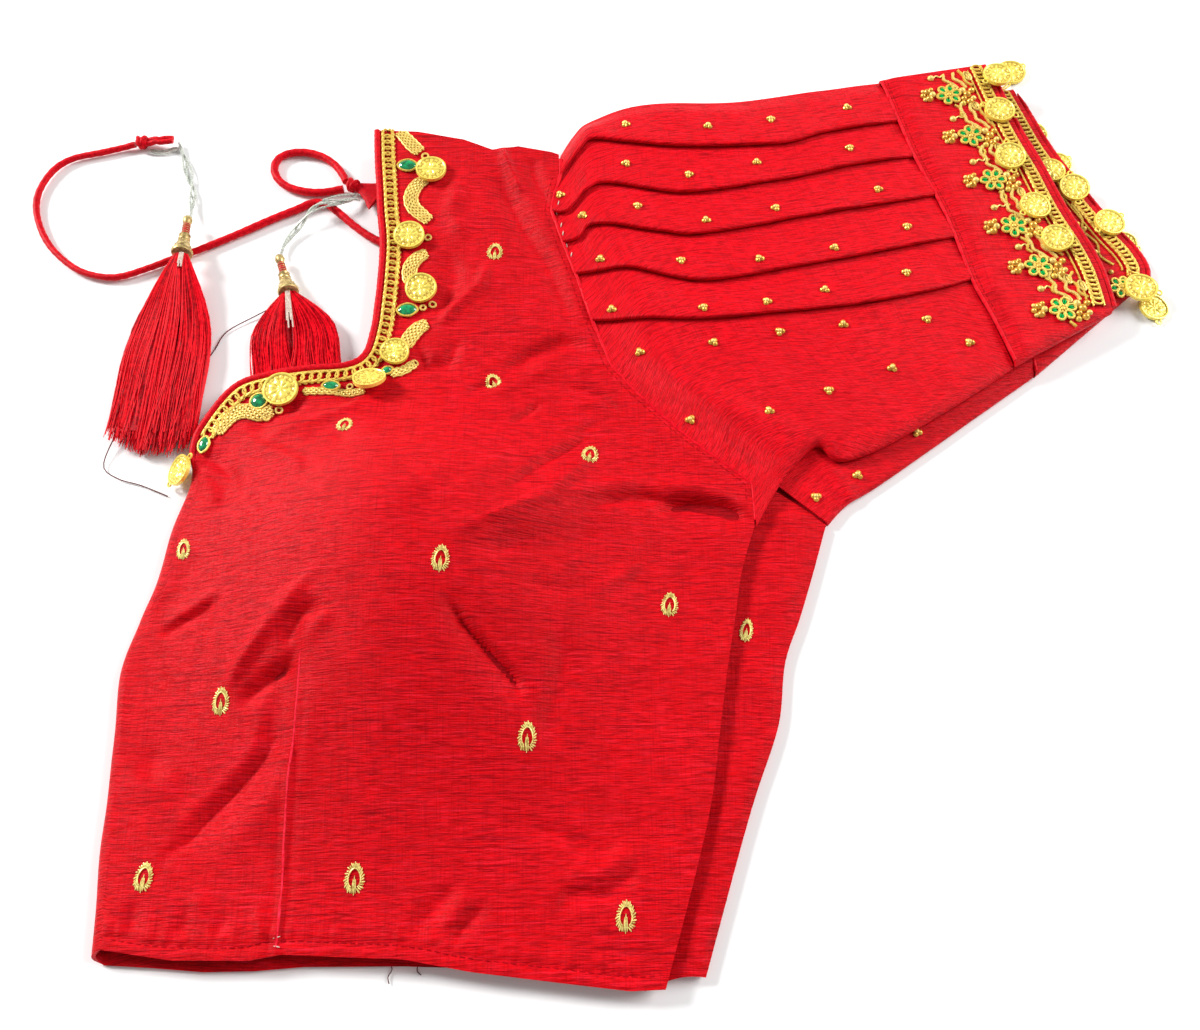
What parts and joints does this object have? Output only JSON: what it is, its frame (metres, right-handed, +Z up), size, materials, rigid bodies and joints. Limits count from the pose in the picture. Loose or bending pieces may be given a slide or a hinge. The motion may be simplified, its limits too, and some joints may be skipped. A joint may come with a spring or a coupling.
{
  "type": "choli blouse",
  "caption": "Cropped sari blouse with pleated puff sleeves, coin and braid trims and tasselled back ties, folded at its centre front and laid flat.",
  "frame": {"origin": "under the middle of the folded garment, on the surface it lies on; free ties and tassels not counted", "axes": "+X from the centre-front fold towards the sleeves, +Y from the hem towards the shoulder, +Z up off the surface"},
  "size_m": [0.515, 0.4271, 0.034],
  "materials": {
    "red_cloth": "slub cotton silk, soft sheen",
    "inner_cloth": "matte inner layers",
    "gold_thread": "metallic thread",
    "coin_gold": "stamped and polished",
    "green_stone": "faceted",
    "silver_thread": "twisted metallic thread"
  },
  "bodies": {
    "root": {"back": "red_cloth", "band_left": "red_cloth", "band_right": "red_cloth", "braid_left": "gold_thread", "braid_right": "gold_thread", "cap_1": "coin_gold", "cap_2": "coin_gold", "coin_left_1": "coin_gold", "coin_left_2": "coin_gold", "coin_left_3": "coin_gold", "coin_left_4": "coin_gold", "coin_left_5": "coin_gold", "coin_neck_1": "coin_gold", "coin_neck_2": "coin_gold", "coin_neck_3": "coin_gold", "coin_neck_4": "coin_gold", "coin_neck_5": "coin_gold", "coin_neck_6": "coin_gold", "coin_neck_7": "coin_gold", "coin_right_1": "coin_gold", "coin_right_2": "coin_gold", "coin_right_3": "coin_gold", "coin_right_4": "coin_gold", "coin_right_5": "coin_gold", "dori_1": "red_cloth", "dori_2": "red_cloth", "flower_left_1": "gold_thread", "flower_right_1": "gold_thread", "flower_right_2": "gold_thread", "flower_right_3": "gold_thread", "flower_right_4": "gold_thread", "flower_right_5": "gold_thread", "flower_right_6": "gold_thread", "front": "red_cloth", "hem_back": "red_cloth", "hem_front": "red_cloth", "hem_under": "red_cloth", "hidden_layers": "inner_cloth", "knot_1": "red_cloth", "knot_2": "red_cloth", "neck_braid": "gold_thread", "neck_piping": "red_cloth", "neck_scroll": "gold_thread", "piping_left": "red_cloth", "piping_right": "red_cloth", "sleeve_left": "red_cloth", "sleeve_right": "red_cloth", "stone_1": "green_stone", "stone_2": "green_stone", "stone_3": "green_stone", "stone_4": "green_stone", "stone_5": "green_stone", "stone_6": "green_stone", "tassel_1": "red_cloth", "tassel_2": "red_cloth", "thread_1": "silver_thread", "thread_2": "silver_thread", "tie_root_2": "red_cloth"}
  },
  "joints": []
}
